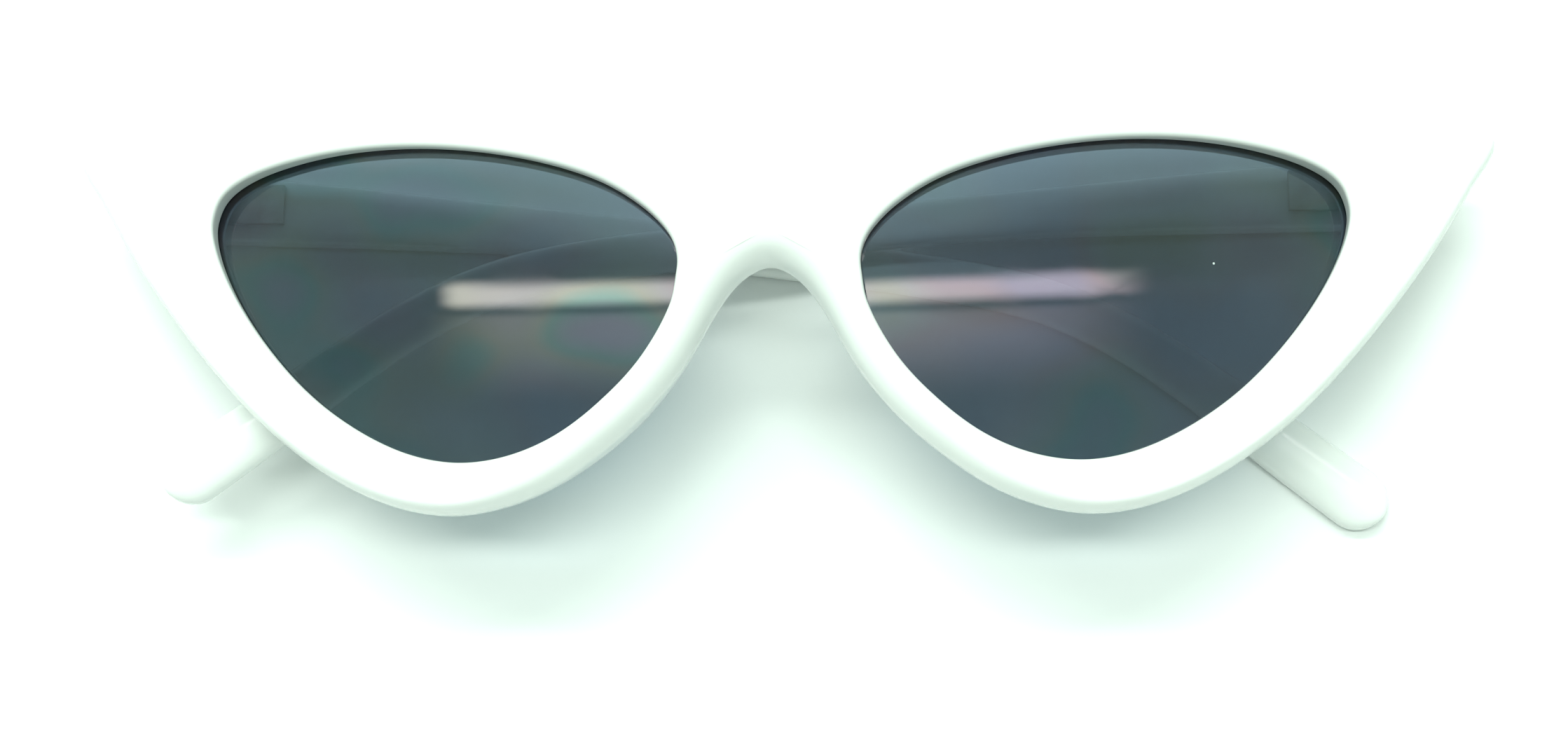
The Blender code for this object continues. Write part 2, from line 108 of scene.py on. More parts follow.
# The temples. They thin and their inner faces are crowned over these distances from the hinge.
TEMPLE_THICKNESS = 3.4 * MM
TEMPLE_MIDDLE_THICKNESS = 2.6 * MM
THINNING_START, THINNING_LENGTH = 14 * MM, 46 * MM
CROWN_START, CROWN_LENGTH = 8 * MM, 70 * MM
TEMPLE_INNER = BARREL_RADIUS + GAP
TEMPLE_OUTER = TEMPLE_INNER + TEMPLE_THICKNESS
TEMPLE_BUTT = 1.5 * MM
FOLD_LEFT = math.radians(93.5)
FOLD_RIGHT = math.radians(90.0)
TILT_LEFT = math.radians(0.5)
TILT_RIGHT = math.radians(-0.5)

# The folded temples rest this much over the table, so that neither dips into it.
OVER_TABLE = 0.02 * MM
BRIDGE_HEIGHT = TEMPLE_OUTER - HINGE_Z + OVER_TABLE
BRIDGE_OFFSET = -2.9 * MM
FRONT_PLACE = Matrix.Translation((0, BRIDGE_OFFSET, BRIDGE_HEIGHT))

# One half of the front, in mm, from the top of the nose arch round under the lens to the wing
# and back along the brow: lens opening x y, outer edge x y, width of the rolled outer edge,
# depth at which the outer edge is widest, and reach of the nose pad behind the rim.
RIM = [
    (9.55, 5.3, 0.0, 6.9, 2.9, 4.4, 0.0),
    (10.05, 2.4, 4.0, 4.3, 2.7, 4.2, 0.0),
    (13.0, -3.1, 8.2, -3.0, 2.3, 3.6, 2.6),
    (16.7, -7.2, 12.3, -8.3, 2.1, 3.2, 4.6),
    (21.4, -10.9, 17.6, -13.0, 2.0, 3.0, 4.4),
    (26.6, -13.1, 24.0, -17.0, 1.6, 2.8, 1.6),
    (32.2, -13.7, 32.6, -19.0, 1.1, 2.6, 0.0),
    (38.4, -12.2, 41.6, -16.9, 0.9, 2.6, 0.0),
    (45.4, -8.2, 50.4, -11.6, 0.8, 2.6, 0.0),
    (50.8, -3.4, 57.4, -5.3, 0.8, 2.6, 0.0),
    (55.9, 3.0, 64.3, 2.6, 0.8, 2.4, 0.0),
    (59.0, 8.6, 70.0, 10.2, 0.8, 2.2, 0.0),
    (60.1, 12.4, 74.4, 17.2, 0.8, 2.0, 0.0),
    (59.9, 14.2, 76.6, 20.5, 0.8, 1.9, 0.0),
    (59.2, 15.8, 76.7, 22.0, 0.8, 1.9, 0.0),
    (57.4, 17.3, 74.6, 22.9, 0.8, 2.0, 0.0),
    (53.4, 18.8, 64.6, 24.1, 0.8, 2.4, 0.0),
    (45.6, 20.05, 50.0, 24.9, 0.8, 2.6, 0.0),
    (36.4, 20.05, 37.6, 24.5, 0.8, 2.6, 0.0),
    (26.6, 18.6, 26.0, 22.8, 0.8, 2.6, 0.0),
    (18.0, 15.9, 15.8, 19.4, 0.9, 2.6, 0.0),
    (13.2, 12.9, 7.6, 16.1, 1.0, 2.6, 0.0),
    (10.9, 10.6, 0.0, 15.0, 1.0, 2.6, 0.0),
]
# The lens opening's two points beside the bridge, between the last row and the first.
BRIDGE_STEPS = [(9.8, 8.8), (9.4, 7.0)]
CAGE_STEPS = 3

# The front lip's section, in shares of FRONT_LIP: out from the opening, and down from the face.
FRONT_LIP_SECTION = ((0, 1), (0.06, 0.65), (0.3, 0.25), (0.65, 0.05), (1.1, 0))
FACE_SHARES = (0.12, 0.5, 0.88)

# A lens's rings of points, as shares of the way from its middle to where its painted shade begins.
LENS_STEPS = 9
LENS_RINGS = (0.08, 0.2, 0.32, 0.44, 0.56, 0.68, 0.78, 0.87, 0.94, 0.98)

# One temple seen from its side, in mm from the hinge axis: distance back, height, face height.
TEMPLE = [
    (0.0, 0.1, 7.6),
    (12.0, -0.6, 7.0),
    (29.0, -1.8, 5.8),
    (47.0, -3.3, 4.9),
    (68.0, -5.7, 4.7),
    (84.0, -7.9, 4.8),
    (96.0, -10.6, 5.0),
    (105.0, -14.9, 5.3),
    (113.0, -20.3, 5.6),
    (121.8, -27.0, 6.5),
    (128.9, -32.4, 6.8),
]
TEMPLE_STEPS = 6
SECTION_POINTS = 40

# The rounded hinge end, as mm from the butt and share of the whole section, and the steps and
# degrees of the round tip.
BUTT_STEPS = ((0.0, 0.86), (0.12, 0.95), (0.35, 0.99), (0.7, 1.0))
TIP_STEPS, TIP_TURN = 11, 87

# How square a temple's section is: the power of its rounded rectangle at the hinge, and what the
# crown takes off it on the inner and on the outer face.
SQUARE_POWER, INNER_CROWN, OUTER_CROWN = 7.0, 4.5, 2.0

# Where the section shrinks at either end of a temple, its thickness goes down to this share of
# the whole, by this power, and this share of what is lost is lost on the inner face.
END_THICKNESS, END_POWER, END_INNER_LOSS = 0.35, 0.7, 0.4

# The radii of the table's rings in metres, and of the low wall that its edge sweeps up into.
TABLE_RADII = (0.5, 1.0, 1.5)
WALL_RADIUS = 0.7
WALL_STEPS = 12
TABLE_SIDES = 96

# The lamps over the table: name, place, size, power in watts and tilt in degrees.
LAMPS = [
    ("tube_lamp", (0.0, 0.1, 1.5), (1.5, 0.2), 12.6, 4),
    ("far_tube_lamp", (-0.4, 0.82, 1.45), (1.5, 0.16), 14.4, 29),
    ("window_lamp", (-0.2, 1.3, 1.35), (1.4, 0.4), 9.5, 44),
]
LAMP_COLOUR = (0.89, 1.0, 0.93)

# The sky's colour, and its strength on the photographer's side and beyond the brow. It changes
# from one to the other between these two directions along Y.
SKY_COLOUR = (0.79, 1.0, 0.89, 1)
SKY_NEAR, SKY_FAR = 0.36, 0.76
SKY_FROM, SKY_TO = -0.9, 0.5

# The sheet that the lenses reflect: its size and place in metres, its tilt and turn in degrees,
# and how far the lamp's middle line on it bends away at one metre from its middle.
GLOW_SIZE = (1.7, 0.9)
GLOW_PLACE = (-0.04, 0.356, 1.5)
GLOW_TILT, GLOW_TURN = 13.5, 1.3
LAMP_BOW = 0.09

# The camera stands over the lenses, on the side of the lower rims: its place in the front's
# frame, its pitch, yaw and roll in degrees, and its focal length and sensor width in mm.
CAMERA_PLACE = (14.34 * MM, -47.37 * MM, 214.95 * MM)
CAMERA_TURN = (-11.0, -3.375, -0.2)
FOCAL_LENGTH, SENSOR_WIDTH = 50, 36


# ---- Curves -----------------------------------------------------------------------------------


def curve_point(before, start, end, after, u):
    """A point at u from start to end on the centripetal Catmull-Rom curve of four points."""
    points = [Vector(p) for p in (before, start, end, after)]
    knots = [0.0]
    for one, two in zip(points, points[1:]):
        knots.append(knots[-1] + max((two - one).length, 1e-9) ** 0.5)
    t = knots[1] + u * (knots[2] - knots[1])
    while len(points) > 1:
        order = 5 - len(points)
        points = [
            one.lerp(two, (t - knots[i]) / (knots[i + order] - knots[i]))
            for i, (one, two) in enumerate(zip(points, points[1:]))
        ]
    return points[0]


def smooth_curve(points, steps):
    """Points along an open curve: its first and last points only steer the ends."""
    found = []
    for around in zip(points, points[1:], points[2:], points[3:]):
        found += [curve_point(*around, step / steps) for step in range(steps)]
    return found + [Vector(points[-2])]


def eased(u):
    u = min(max(u, 0.0), 1.0)
    return u * u * (3 - 2 * u)


def blend_values(values, steps):
    """Numbers eased from each station to the next, with the last station at the end."""
    found = []
    for one, two in zip(values, values[1:]):
        found += [one + (two - one) * eased(step / steps) for step in range(steps)]
    return found + [values[-1]]


def mirrored(point):
    return (-point[0], point[1])


def inward_normals(points):
    """Unit normals to the left of a closed line of points."""
    normals = []
    for i, point in enumerate(points):
        along = points[(i + 1) % len(points)] - points[i - 1]
        normals.append(Vector((-along.y, along.x)).normalized())
    return normals


# ---- The front's surfaces ---------------------------------------------------------------------


def lens_opening(steps):
    """The lens opening's closed outline."""
    stations = [Vector(row[0:2]) * MM for row in RIM]
    stations += [Vector(point) * MM for point in BRIDGE_STEPS]
    closed = [stations[-1], *stations, stations[0], stations[1]]
    return smooth_curve(closed, steps)[:-1]


def outer_edge():
    """The outer edge from the nose arch to the middle of the brow, without the bridge's cut."""
    stations = [Vector(row[2:4]) * MM for row in RIM]
    ends = Vector(mirrored(stations[1])), Vector(mirrored(stations[-2]))
    return smooth_curve([ends[0], *stations, ends[1]], CAGE_STEPS)


def face_height(x):
    return -x * x / (2 * FACE_RADIUS)


def rim_depth(x):
    along = min(max((x - WING_START) / (WING_END - WING_START), 0.0), 1.0)
    return RIM_DEPTH + (WING_DEPTH - RIM_DEPTH) * along


def lens_height(point, radius):
    """Height of the lens sphere of a radius over a point; the lens faces square to the face."""
    lean = LENS_CENTRE[0] / FACE_RADIUS
    top = Vector((*LENS_CENTRE, face_height(LENS_CENTRE[0]) - LENS_SUNK))
    centre = top - LENS_RADIUS * Vector((math.sin(lean), 0, math.cos(lean)))
    flat = (point - centre.xy).length_squared
    return centre.z + math.sqrt(radius * radius - flat)


def lens_front(point):
    return lens_height(point, LENS_RADIUS)


def lens_back(point):
    return lens_height(point, LENS_RADIUS - LENS_THICKNESS)


def front_loops():
    """Closed loops of points round one half of the front, in order round the rim's section."""
    opening, edge = lens_opening(CAGE_STEPS), outer_edge()
    roll, widest, pad = (
        blend_values([row[k] * MM for row in RIM], CAGE_STEPS) for k in (4, 5, 6)
    )
    cut_steps = len(opening) - len(edge) + 1
    into_rim = [-normal for normal in inward_normals(opening)]
    into_edge = inward_normals([edge[-1] + Vector((-1 * MM, 0)), *edge])[1:]
    into_edge[0], into_edge[-1] = Vector((0, 1)), Vector((0, -1))

    def outer(inset, depth):
        """A loop set in from the outer edge; across the bridge it runs straight down x = 0."""
        line = [p + n * inset(i) for i, (p, n) in enumerate(zip(edge, into_edge))]
        deep = [depth(i) for i in range(len(edge))]
        for step in range(1, cut_steps):
            u = step / cut_steps
            line.append(line[len(edge) - 1].lerp(line[0], u))
            deep.append(deep[len(edge) - 1] * (1 - u) + deep[0] * u)
        return [Vector((*p, face_height(p.x) - d)) for p, d in zip(line, deep)]

    def inner(outset, height):
        line = [p + n * outset for p, n in zip(opening, into_rim)]
        return [Vector((*p, height(p))) for p in line]

    def across_face(one, two, share):
        line = [a.lerp(b, share).xy for a, b in zip(one, two)]
        return [Vector((*p, face_height(p.x))) for p in line]

    def face(p):
        return face_height(p.x)

    def back(p):
        return face_height(p.x) - rim_depth(p.x)

    def edge_depth(i):
        return rim_depth(edge[i].x) + pad[i]

    loops = [outer(lambda i: roll[i], lambda i: 0.0)]
    for angle in ROLL_ANGLES:
        turn = math.radians(angle)
        loops.append(
            outer(
                lambda i: roll[i] * (1 - math.sin(turn)),
                lambda i: widest[i] * (1 - math.cos(turn)),
            )
        )
    # The nose pad leans in from the outer edge by these shares of its reach, and then falls away.
    loops.append(outer(lambda i: OUTER_SIDE + 0.12 * pad[i], lambda i: edge_depth(i) - BACK_ROLL))
    loops.append(
        outer(
            lambda i: OUTER_SIDE + 0.3 * BACK_ROLL + 0.15 * pad[i],
            lambda i: edge_depth(i) - 0.3 * BACK_ROLL,
        )
    )
    loops.append(outer(lambda i: BACK_ROLL + 0.2 * pad[i], edge_depth))
    loops.append(outer(lambda i: BACK_FLAT + 0.3 * pad[i], lambda i: edge_depth(i) - 0.6 * pad[i]))
    back_start, back_lip = loops[-1], inner(LIP_RADIUS, back)
    for share in BACK_SHARES:
        loops.append([a.lerp(b, share) for a, b in zip(back_start, back_lip)])
    loops.append(back_lip)
    loops.append(inner(0.1 * LIP_RADIUS, lambda p: back(p) + 0.3 * LIP_RADIUS))
    loops.append(inner(0, lambda p: back(p) + LIP_RADIUS))
    for share in GROOVE_SHARES:
        loops.append(inner(share * GROOVE_DEPTH, lambda p: lens_back(p) - LENS_GAP))
    for share in reversed(GROOVE_SHARES):
        loops.append(inner(share * GROOVE_DEPTH, lambda p: lens_front(p) + LENS_GAP))
    loops.append(inner(0, lambda p: lens_front(p) + LENS_GAP + GROOVE_TO_FACE))
    for out, down in FRONT_LIP_SECTION:
        loops.append(inner(out * FRONT_LIP, lambda p: face(p) - down * FRONT_LIP))
    front_lip = loops[-1]
    for share in FACE_SHARES:
        loops.append(across_face(front_lip, loops[0], share))
    return loops


# ---- Meshes -----------------------------------------------------------------------------------


def skin_loops(work, loops, wrap=True):
    """Joins closed loops of equal length with quads, and the last to the first if they wrap."""
    rings = [[work.verts.new(point) for point in loop] for loop in loops]
    pairs = zip(rings, rings[1:] + rings[:1]) if wrap else zip(rings, rings[1:])
    for one, two in pairs:
        for i in range(len(one)):
            work.faces.new((one[i - 1], one[i], two[i], two[i - 1]))
    return rings


def new_piece(name, build, place=None):
    """An object whose mesh is filled by a function that takes a bmesh, with normals facing out."""
    work = bmesh.new()
    build(work)
    if place:
        bmesh.ops.transform(work, matrix=place, verts=work.verts)
    bmesh.ops.recalc_face_normals(work, faces=work.faces)
    mesh = bpy.data.meshes.new(name)
    work.to_mesh(mesh)
    work.free()
    made = bpy.data.objects.new(name, mesh)
    bpy.context.scene.collection.objects.link(made)
    return made


def settle(piece):
    """Makes the piece's modifiers part of its mesh, and smooths all but its sharp edges."""
    graph = bpy.context.evaluated_depsgraph_get()
    mesh = bpy.data.meshes.new_from_object(piece.evaluated_get(graph))
    piece.modifiers.clear()
    piece.data = mesh
    mesh.shade_smooth()
    mesh.set_sharp_from_angle(angle=SHARP_ANGLE)


def combine(piece, tool, operation):
    """Joins or cuts the piece with a tool, which is then removed."""
    change = piece.modifiers.new(operation.lower(), "BOOLEAN")
    change.operation = operation
    change.solver = "EXACT"
    change.object = tool
    settle(piece)
    bpy.data.objects.remove(tool, do_unlink=True)


def block(name, low, high, bevel=0.0, place=None):
    """A box between two corners, with its edges rounded by a bevel if it has one."""

    def build(work):
        bmesh.ops.create_cube(work, size=1.0)
        bmesh.ops.scale(work, vec=Vector(high) - Vector(low), verts=work.verts)
        bmesh.ops.translate(work, vec=(Vector(high) + Vector(low)) / 2, verts=work.verts)
        if bevel:
            bmesh.ops.bevel(
                work,
                geom=list(work.edges),
                offset=bevel,
                segments=3,
                profile=0.5,
                affect="EDGES",
            )

    return new_piece(name, build, place)


def make_front():
    """The front in one piece with its hinge bosses, cut for the hinge leaves."""

    def build(work):
        skin_loops(work, front_loops())
        on_middle = 0.001 * MM
        cut = [f for f in work.faces if all(abs(v.co.x) < on_middle for v in f.verts)]
        bmesh.ops.delete(work, geom=cut, context="FACES")

    front = new_piece("front_shell", build)
    mirror = front.modifiers.new("other_half", "MIRROR")
    mirror.use_clip = True
    mirror.merge_threshold = 0.05 * MM
    smooth = front.modifiers.new("smooth", "SUBSURF")
    smooth.levels = smooth.render_levels = 2
    settle(front)
    seat = HINGE_Z + SEAT_OFFSET
    reach = 1.5 * BARREL_HEIGHT + GAP
    for sign in (1, -1):
        half_x, half_y = BOSS_SIZE[0] / 2, BOSS_SIZE[1] / 2
        middle = Vector((sign * BOSS_CENTRE_X, HINGE_Y, 0))
        low = middle + Vector((-half_x, -half_y, seat))
        high = middle + Vector((half_x, half_y, face_height(BOSS_CENTRE_X) - BOSS_SUNK))
        combine(front, block("boss", low, high, bevel=BOSS_BEVEL), "UNION")
        inner, outer = HINGE_X + FRONT_LEAF[0] - GAP, HINGE_X + FRONT_LEAF[1] + GAP
        low_x, high_x = sorted((sign * inner, sign * outer))
        low = (low_x, HINGE_Y - reach - GAP, seat - CUT_PAST)
        high = (high_x, HINGE_Y + reach + GAP, HINGE_Z + LEAF_RISE + LEAF_THICKNESS + GAP)
        combine(front, block("pocket", low, high), "DIFFERENCE")
    front.data.transform(FRONT_PLACE)
    return front


def make_lens(side, sign):
    """A tinted lens: two spherical faces and a narrow edge inside the rim's groove."""

    def build(work):
        shade = work.verts.layers.float.new("rim_shade")
        opening = lens_opening(LENS_STEPS)
        normals = inward_normals(opening)
        centre = Vector(LENS_CENTRE)
        clear, opened, edge = (
            [p + n * inset for p, n in zip(opening, normals)]
            for inset in (LENS_SHADE_WIDTH, 0.0, -LENS_IN_GROOVE)
        )
        lines = [[centre.lerp(p, share) for p in clear] for share in LENS_RINGS]
        lines += [clear, opened, edge]

        def ring(line, surface):
            return [Vector((*p, surface(p))) for p in line]

        loops = [ring(line, lens_front) for line in lines]
        loops += [ring(line, lens_back) for line in reversed(lines)]
        rings = skin_loops(work, loops, wrap=False)
        # Only the front's rings at and outside the opening carry the painted shade that darkens
        # the lens at the rim.
        for shaded_ring in rings[len(lines) - 2 : len(lines)]:
            for vert in shaded_ring:
                vert[shade] = 1.0
        for rim, surface in ((rings[0], lens_front), (rings[-1], lens_back)):
            hub = work.verts.new((*centre, surface(centre)))
            for i in range(len(rim)):
                work.faces.new((rim[i - 1], rim[i], hub))
        bmesh.ops.scale(work, vec=(sign, 1, 1), verts=work.verts)

    lens = new_piece(f"tinted_lens_{side}", build, FRONT_PLACE)
    settle(lens)
    return lens


def temple_thickness(distance):
    """The temple thins from its hinge end to its middle."""
    share = eased((distance - THINNING_START) / THINNING_LENGTH)
    return TEMPLE_THICKNESS + (TEMPLE_MIDDLE_THICKNESS - TEMPLE_THICKNESS) * share


def temple_stations(tilt):
    """Places along the temple: point, direction, face height and how far the section shrinks."""
    turn = Matrix.Rotation(tilt, 3, "Z")
    rows = [turn @ Vector(row) * MM for row in TEMPLE]
    line = smooth_curve([rows[0] * 2 - rows[1], *rows, rows[-1] * 2 - rows[-2]], TEMPLE_STEPS)
    stations = []
    for shift, share in BUTT_STEPS:
        back = rows[0].lerp(rows[1], (shift * MM - TEMPLE_BUTT) / rows[1].x)
        stations.append((back.xy, Vector((1, 0)), back.z, share))
    straight_steps = 4
    for i, row in enumerate(line):
        along = line[min(i + 1, len(line) - 1)].xy - line[max(i - 1, 0)].xy
        share = eased(i / straight_steps)
        direction = Vector((1, 0)).lerp(along.normalized(), share).normalized()
        stations.append((row.xy, direction, row.z, 1.0))
    end, direction, height, _ = stations[-1]
    for step in range(1, TIP_STEPS + 1):
        angle = math.radians(TIP_TURN * step / TIP_STEPS)
        ahead = end + direction * height / 2 * math.sin(angle)
        stations.append((ahead, direction, height, math.cos(angle)))
    return stations


def temple_section(distance, height, share):
    """Points round the temple's section, as thickness and height about its middle.

    Near the hinge it is a rounded rectangle. Towards the tip the inner face is crowned, and the
    outer face stays nearly flat.
    """
    crown = eased((distance - CROWN_START) / CROWN_LENGTH)
    thick = temple_thickness(distance)
    thick *= END_THICKNESS + (1 - END_THICKNESS) * share**END_POWER
    inner_power = SQUARE_POWER - INNER_CROWN * crown
    outer_power = SQUARE_POWER - OUTER_CROWN * crown
    inner_part = thick * (0.5 + 0.14 * crown)
    points = []
    for i in range(SECTION_POINTS):
        turn = 2 * math.pi * (i + 0.5) / SECTION_POINTS
        across, up = math.cos(turn), math.sin(turn)
        power = outer_power if across > 0 else inner_power
        depth = thick - inner_part if across > 0 else inner_part
        x = math.copysign(depth * abs(across) ** (2 / power), across)
        y = math.copysign(height / 2 * share * abs(up) ** (2 / power), up)
        points.append((x + inner_part, y))
    spare = temple_thickness(distance) - thick
    return [(x + spare * END_INNER_LOSS, y) for x, y in points]


def make_temple(side, sign, fold, tilt):
    """A temple, drawn as it stands open behind its hinge and then folded."""

    def build(work):
        loops = []
        for point, direction, height, share in temple_stations(tilt):
            up = Vector((-direction.y, direction.x))
            inner_face = TEMPLE_OUTER - temple_thickness(point.x)
            loop = []
            for x, h in temple_section(point.x, height, share):
                place = point + up * h
                loop.append(Vector((sign * (inner_face + x), place.y, -place.x)))
            loops.append(loop)
        rings = skin_loops(work, loops, wrap=False)
        work.faces.new(rings[0])
        work.faces.new(rings[-1])

    hinge = Matrix.Translation((sign * HINGE_X, HINGE_Y, HINGE_Z))
    place = FRONT_PLACE @ hinge @ Matrix.Rotation(sign * fold, 4, "Y")
    temple = new_piece(f"temple_arm_{side}", build, place)
    low_x, high_x = sorted((sign * (TEMPLE_INNER - 1 * MM), sign * (TEMPLE_INNER + LEAF_SUNK)))
    low = (low_x, -TEMPLE_LEAF_HALF, TEMPLE_LEAF[0])
    high = (high_x, TEMPLE_LEAF_HALF, TEMPLE_LEAF[1])
    combine(temple, block("pocket", low, high, place=place), "DIFFERENCE")
    return temple


# ---- Materials --------------------------------------------------------------------------------


class Shader:
    """The node tree of a new material, or the world's, with short ways to add nodes to it."""

    def __init__(self, name="", tree=None):
        if tree:
            self.tree, self.main = tree, tree.nodes["Background"]
            return
        self.material = bpy.data.materials.new(name)
        self.material.use_nodes = True
        self.tree = self.material.node_tree
        self.main = self.tree.nodes["Principled BSDF"]
        self.place = self.add("ShaderNodeTexCoord").outputs["Object"]

    def add(self, kind, **settings):
        node = self.tree.nodes.new(kind)
        for key, value in settings.items():
            setattr(node, key, value)
        return node

    def link(self, output, target):
        self.tree.links.new(output, target)

    def noise(self, scale, detail=3.0, stretch=(1, 1, 1), roughness=0.5):
        """Smooth noise with this many features to the metre."""
        source = self.place
        if stretch != (1, 1, 1):
            squeeze = self.add("ShaderNodeMapping")
            squeeze.inputs["Scale"].default_value = stretch
            self.link(source, squeeze.inputs["Vector"])
            source = squeeze.outputs["Vector"]
        node = self.add("ShaderNodeTexNoise")
        node.inputs["Scale"].default_value = scale
        node.inputs["Detail"].default_value = detail
        node.inputs["Roughness"].default_value = roughness
        self.link(source, node.inputs["Vector"])
        return node.outputs["Fac"]

    def remap(self, value, low, high, new_low, new_high):
        """The value moved from one range to another, easing in and out."""
        node = self.add("ShaderNodeMapRange", interpolation_type="SMOOTHSTEP")
        for name, number in (
            ("From Min", low),
            ("From Max", high),
            ("To Min", new_low),
            ("To Max", new_high),
        ):
            node.inputs[name].default_value = number
        self.link(value, node.inputs["Value"])
        return node.outputs["Result"]

    def maths(self, operation, one, two):
        node = self.add("ShaderNodeMath", operation=operation)
        for socket, value in zip(node.inputs, (one, two)):
            if isinstance(value, (int, float)):
                socket.default_value = value
            else:
                self.link(value, socket)
        return node.outputs["Value"]

    def colours(self, value, stops):
        """A colour ramp over a value: stops of (position, colour)."""
        node = self.add("ShaderNodeValToRGB")
        ramp = node.color_ramp
        while len(ramp.elements) < len(stops):
            ramp.elements.new(0.5)
        for element, (position, colour) in zip(ramp.elements, stops):
            element.position = position
            element.color = (*colour, 1)
        self.link(value, node.inputs["Fac"])
        return node.outputs["Color"]

    def mix(self, share, one, two):
        """Two shaders mixed: a share of the second over the first."""
        node = self.add("ShaderNodeMixShader")
        for socket, output in zip(node.inputs, (share, one, two)):
            self.link(output, socket)
        return node.outputs[0]

    def bump(self, height, distance, strength, under=None):
        node = self.add("ShaderNodeBump")
        node.inputs["Strength"].default_value = strength
        node.inputs["Distance"].default_value = distance
        self.link(height, node.inputs["Height"])
        if under:
            self.link(under, node.inputs["Normal"])
        return node.outputs["Normal"]


def white_plastic():
    """Injection-moulded white: glossy, with a slight ripple, faint scuffs and worn edges."""
    shader = Shader("white_plastic_look")
    main = shader.main.inputs
    tone = shader.noise(45, detail=4)
    colour = shader.colours(tone, [(0.35, (0.77, 0.78, 0.765)), (0.7, (0.81, 0.82, 0.8))])
    shader.link(colour, main["Base Color"])
    haze = shader.remap(shader.noise(120, detail=5), 0.35, 0.7, 0.1, 0.17)
    scuffs = shader.noise(700, detail=6, stretch=(0.12, 1, 1), roughness=0.7)
    scuffed = shader.maths("ADD", haze, shader.remap(scuffs, 0.62, 0.75, 0.0, 0.09))
    edges = shader.add("ShaderNodeNewGeometry").outputs["Pointiness"]
    worn = shader.maths("ADD", scuffed, shader.remap(edges, 0.53, 0.6, 0.0, 0.08))
    shader.link(worn, main["Roughness"])
    main["IOR"].default_value = 1.5
    main["Subsurface Weight"].default_value = 0.12
    main["Subsurface Radius"].default_value = (1.0, 0.9, 0.8)
    main["Subsurface Scale"].default_value = 0.8 * MM
    ripple = shader.bump(shader.noise(260, detail=2), 0.02 * MM, 0.35)
    grain = shader.bump(shader.noise(2600, detail=3), 0.003 * MM, 0.3, under=ripple)
    shader.link(grain, main["Normal"])
    return shader.material


def smoke_lens():
    """A polished smoke tint, with a painted shade where it enters the groove.

    It has a faint coloured sheen, a little haze and a few dust specks.
    """
    shader = Shader("smoke_lens_look")
    shader.tree.nodes.remove(shader.main)
    through = shader.add("ShaderNodeBsdfTransparent")
    edge = shader.add("ShaderNodeAttribute", attribute_name="rim_shade").outputs["Fac"]
    # Painted shade: on the rim_shade rings the tint runs to near black, standing for the shadow in
    # the groove at the lens's edge.
    rim_shade_tints = [(0.1, (0.33, 0.39, 0.445)), (0.9, (0.06, 0.07, 0.08))]
    shader.link(shader.colours(edge, rim_shade_tints), through.inputs["Color"])
    mirror = shader.add("ShaderNodeBsdfAnisotropic")
    sheen = shader.colours(
        shader.noise(70, detail=1, stretch=(0.75, 1, 1)),
        [
            (0.34, (0.9, 0.8, 1.0)),
            (0.42, (1.0, 0.8, 0.86)),
            (0.49, (1.0, 0.95, 0.92)),
            (0.55, (1.0, 1.0, 0.8)),
            (0.6, (0.66, 1.0, 0.84)),
            (0.68, (0.88, 0.84, 1.0)),
        ],
    )
    shader.link(sheen, mirror.inputs["Color"])
    haze = shader.remap(shader.noise(150, detail=5), 0.4, 0.7, 0.02, 0.06)
    shader.link(haze, mirror.inputs["Roughness"])
    gloss = shader.add("ShaderNodeFresnel")
    gloss.inputs["IOR"].default_value = 1.65
    inside = shader.add("ShaderNodeNewGeometry").outputs["Backfacing"]
    gloss_outside = shader.maths(
        "MULTIPLY", gloss.outputs["Fac"], shader.maths("SUBTRACT", 1.0, inside)
    )
    tinted = shader.mix(gloss_outside, through.outputs[0], mirror.outputs[0])
    dust = shader.add("ShaderNodeBsdfDiffuse")
    dust.inputs["Color"].default_value = (0.55, 0.6, 0.6, 1)
    cells = shader.add("ShaderNodeTexVoronoi")
    cells.inputs["Scale"].default_value = 240
    shader.link(shader.place, cells.inputs["Vector"])
    near = shader.remap(cells.outputs["Distance"], 0.02, 0.035, 1.0, 0.0)
    chosen = shader.remap(cells.outputs["Color"], 0.82, 0.84, 0.0, 1.0)
    speck = shader.maths("MULTIPLY", near, chosen)
    film = shader.remap(shader.noise(70, detail=4), 0.45, 0.75, 0.0, 0.012)
    whole = shader.mix(shader.maths("ADD", speck, film), tinted, dust.outputs[0])
    shader.link(whole, shader.tree.nodes["Material Output"].inputs["Surface"])
    return shader.material


def hinge_steel():
    """Nickel-plated steel, lightly brushed along the hinge axis, dulled in patches."""
    shader = Shader("hinge_steel_look")
    main = shader.main.inputs
    main["Metallic"].default_value = 1.0
    patches = shader.noise(500, detail=4)
    colour = shader.colours(patches, [(0.3, (0.66, 0.66, 0.65)), (0.65, (0.8, 0.8, 0.8))])
    shader.link(colour, main["Base Color"])
    brushed = shader.noise(2500, detail=4, stretch=(1, 0.06, 1))
    shader.link(shader.remap(brushed, 0.3, 0.7, 0.32, 0.52), main["Roughness"])
    shader.link(shader.bump(brushed, 0.006 * MM, 0.5), main["Normal"])
    return shader.material


def table_top():
    """A plain white table with a satin surface."""
    shader = Shader("table_white")
    main = shader.main.inputs
    tone = shader.noise(9, detail=3)
    colour = shader.colours(tone, [(0.3, (0.86, 0.865, 0.86)), (0.7, (0.89, 0.895, 0.89))])
    shader.link(colour, main["Base Color"])
    shader.link(shader.remap(shader.noise(60), 0.3, 0.7, 0.5, 0.62), main["Roughness"])
    main["Specular IOR Level"].default_value = 0.25
    shader.link(shader.bump(shader.noise(1500), 0.01 * MM, 0.2), main["Normal"])
    return shader.material


# ---- Floor, light and camera ------------------------------------------------------------------


def flat_sheet(name, width, depth):
    """A level sheet about its own middle."""

    def build(work):
        bmesh.ops.create_grid(work, x_segments=1, y_segments=1, size=0.5)
        bmesh.ops.scale(work, vec=(width, depth, 1), verts=work.verts)

    return new_piece(name, build)


